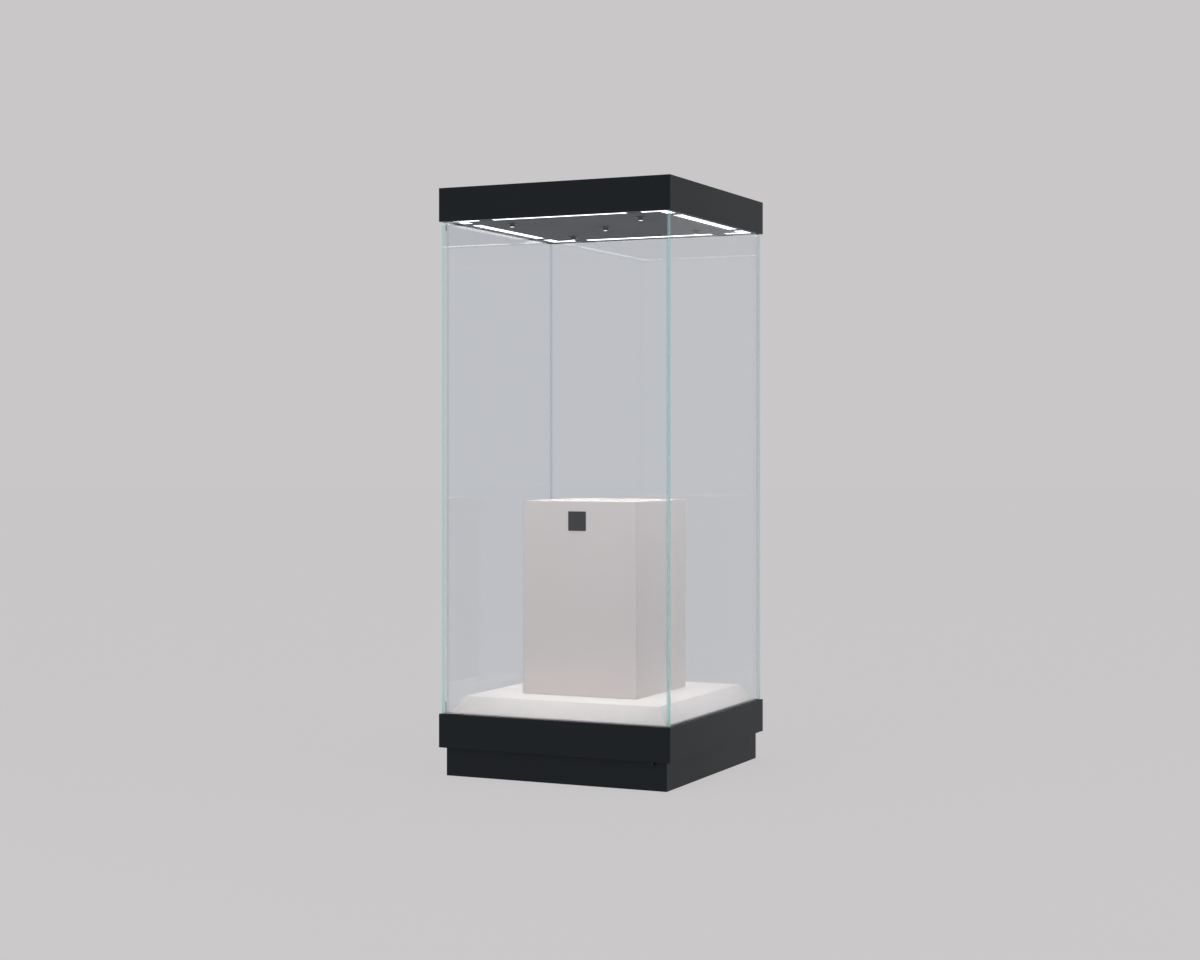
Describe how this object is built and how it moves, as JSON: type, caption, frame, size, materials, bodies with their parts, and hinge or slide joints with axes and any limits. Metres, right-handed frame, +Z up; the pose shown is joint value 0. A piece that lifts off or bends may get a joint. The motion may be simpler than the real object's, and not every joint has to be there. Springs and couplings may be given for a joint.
{
  "type": "museum showcase",
  "caption": "Free-standing glass tower showcase with hinged glass door, lit hood, covered deck and display block, base and recessed toe frame.",
  "frame": {"origin": "on the floor, under the middle of the case", "axes": "+Z up, -Y towards the front (the glass door), +X towards the door's lock side"},
  "size_m": [0.9, 0.9, 2.105],
  "materials": {
    "black_paint": "fine-textured satin black powder coat",
    "ceiling_paint": "matt dark grey powder coat",
    "clear_glass": "clear toughened glass with polished pale teal edges",
    "clear_seal": "clear soft silicone",
    "polished_steel": "polished stainless steel",
    "bronze": "plain bearing bronze",
    "aluminium": "mill satin",
    "zinc_steel": "zinc-plated steel sheet",
    "deck_cloth": "board covered in off-white plain-weave display cloth",
    "plinth_cloth": "board covered in warm light grey fine display cloth",
    "plate_grey": "blank dark anodised plate",
    "opal_diffuser": "opal white, lit from behind",
    "dark_aluminium": "black anodised, fine satin",
    "spot_lens": "frosted lens, lit",
    "driver_plastic": "moulded light grey",
    "black_plastic": "moulded black",
    "foot_rubber": "black rubber-faced foot"
  },
  "bodies": {
    "case": {"toe_frame": "black_paint", "base_shell": "black_paint", "base_frame": "black_paint", "hood_shell": "black_paint", "ceiling_panel": "ceiling_paint", "back_glass": "clear_glass", "left_glass": "clear_glass", "right_glass": "clear_glass", "left_corner_bond": "clear_seal", "right_corner_bond": "clear_seal", "hinge_side_seal": "clear_seal", "lock_side_seal": "clear_seal", "top_pivot_bush": "bronze", "bottom_pivot_bush": "bronze", "base_glass_channel": "aluminium", "hood_glass_channel": "aluminium", "light_tray": "aluminium", "deck_plate": "zinc_steel", "lid_hinge": "zinc_steel", "deck_board": "deck_cloth", "display_plinth": "plinth_cloth", "name_plate": "plate_grey", "lamp_front": "opal_diffuser", "lamp_back": "opal_diffuser", "lamp_left": "opal_diffuser", "lamp_right": "opal_diffuser", "lamp_corner_front_left": "opal_diffuser", "lamp_corner_front_right": "opal_diffuser", "lamp_corner_back_left": "opal_diffuser", "lamp_corner_back_right": "opal_diffuser", "lock_housing": "dark_aluminium", "line_driver": "driver_plastic", "spot_driver": "driver_plastic", "terminal_box": "driver_plastic", "power_inlet": "black_plastic"},
    "door": {"door_glass": "clear_glass", "top_pivot_patch": "polished_steel", "bottom_pivot_patch": "polished_steel"},
    "bolt": {"bolt_plunger": "dark_aluminium"},
    "hood_lid": {"hood_lid": "black_paint"},
    "lid_latch": {"lid_latch": "dark_aluminium"},
    "foot_front_left": {"foot_front_left": "foot_rubber"},
    "foot_front_right": {"foot_front_right": "foot_rubber"},
    "foot_back_left": {"foot_back_left": "foot_rubber"},
    "foot_back_right": {"foot_back_right": "foot_rubber"},
    "spot_front_left_ring": {"spot_front_left_ring": "dark_aluminium"},
    "spot_front_left_head": {"spot_front_left_head": "dark_aluminium", "spot_front_left_lens": "spot_lens"},
    "spot_front_right_ring": {"spot_front_right_ring": "dark_aluminium"},
    "spot_front_right_head": {"spot_front_right_head": "dark_aluminium", "spot_front_right_lens": "spot_lens"},
    "spot_centre_ring": {"spot_centre_ring": "dark_aluminium"},
    "spot_centre_head": {"spot_centre_head": "dark_aluminium", "spot_centre_lens": "spot_lens"},
    "spot_back_left_ring": {"spot_back_left_ring": "dark_aluminium"},
    "spot_back_left_head": {"spot_back_left_head": "dark_aluminium", "spot_back_left_lens": "spot_lens"},
    "spot_back_right_ring": {"spot_back_right_ring": "dark_aluminium"},
    "spot_back_right_head": {"spot_back_right_head": "dark_aluminium", "spot_back_right_lens": "spot_lens"}
  },
  "joints": [
    {"name": "bolt_lift", "type": "slide", "parent": "case", "child": "bolt", "axis": [0, 0, 1], "range_m": [0, 0.012]},
    {"name": "door_swing", "type": "hinge", "parent": "case", "child": "door", "pos_m": [-0.421, -0.437, 1.1035], "axis": [0, 0, -1], "range_deg": [0, 110]},
    {"name": "hood_lid_swing", "type": "hinge", "parent": "case", "child": "hood_lid", "pos_m": [0, 0.3232, 2.1019], "axis": [-1, 0, 0], "range_deg": [0, 95]},
    {"name": "lid_latch_turn", "type": "hinge", "parent": "hood_lid", "child": "lid_latch", "pos_m": [0, -0.286, 2.1], "axis": [0, 0, -1], "range_deg": [0, 90]},
    {"name": "foot_front_left_screw", "type": "slide", "parent": "case", "child": "foot_front_left", "axis": [0, 0, -1], "range_m": [0, 0.015]},
    {"name": "foot_front_right_screw", "type": "slide", "parent": "case", "child": "foot_front_right", "axis": [0, 0, -1], "range_m": [0, 0.015]},
    {"name": "foot_back_left_screw", "type": "slide", "parent": "case", "child": "foot_back_left", "axis": [0, 0, -1], "range_m": [0, 0.015]},
    {"name": "foot_back_right_screw", "type": "slide", "parent": "case", "child": "foot_back_right", "axis": [0, 0, -1], "range_m": [0, 0.015]},
    {"name": "spot_front_left_pan", "type": "hinge", "parent": "case", "child": "spot_front_left_ring", "pos_m": [-0.255, -0.255, 1.991], "axis": [0, 0, 1], "range_deg": [-175, 175]},
    {"name": "spot_front_left_tilt", "type": "hinge", "parent": "spot_front_left_ring", "child": "spot_front_left_head", "pos_m": [-0.255, -0.255, 1.991], "axis": [1, 0, 0], "range_deg": [-15, 15]},
    {"name": "spot_front_right_pan", "type": "hinge", "parent": "case", "child": "spot_front_right_ring", "pos_m": [0.255, -0.255, 1.991], "axis": [0, 0, 1], "range_deg": [-175, 175]},
    {"name": "spot_front_right_tilt", "type": "hinge", "parent": "spot_front_right_ring", "child": "spot_front_right_head", "pos_m": [0.255, -0.255, 1.991], "axis": [1, 0, 0], "range_deg": [-15, 15]},
    {"name": "spot_centre_pan", "type": "hinge", "parent": "case", "child": "spot_centre_ring", "pos_m": [0, 0, 1.991], "axis": [0, 0, 1], "range_deg": [-175, 175]},
    {"name": "spot_centre_tilt", "type": "hinge", "parent": "spot_centre_ring", "child": "spot_centre_head", "pos_m": [0, 0, 1.991], "axis": [1, 0, 0], "range_deg": [-15, 15]},
    {"name": "spot_back_left_pan", "type": "hinge", "parent": "case", "child": "spot_back_left_ring", "pos_m": [-0.255, 0.255, 1.991], "axis": [0, 0, 1], "range_deg": [-175, 175]},
    {"name": "spot_back_left_tilt", "type": "hinge", "parent": "spot_back_left_ring", "child": "spot_back_left_head", "pos_m": [-0.255, 0.255, 1.991], "axis": [1, 0, 0], "range_deg": [-15, 15]},
    {"name": "spot_back_right_pan", "type": "hinge", "parent": "case", "child": "spot_back_right_ring", "pos_m": [0.255, 0.255, 1.991], "axis": [0, 0, 1], "range_deg": [-175, 175]},
    {"name": "spot_back_right_tilt", "type": "hinge", "parent": "spot_back_right_ring", "child": "spot_back_right_head", "pos_m": [0.255, 0.255, 1.991], "axis": [1, 0, 0], "range_deg": [-15, 15]}
  ]
}
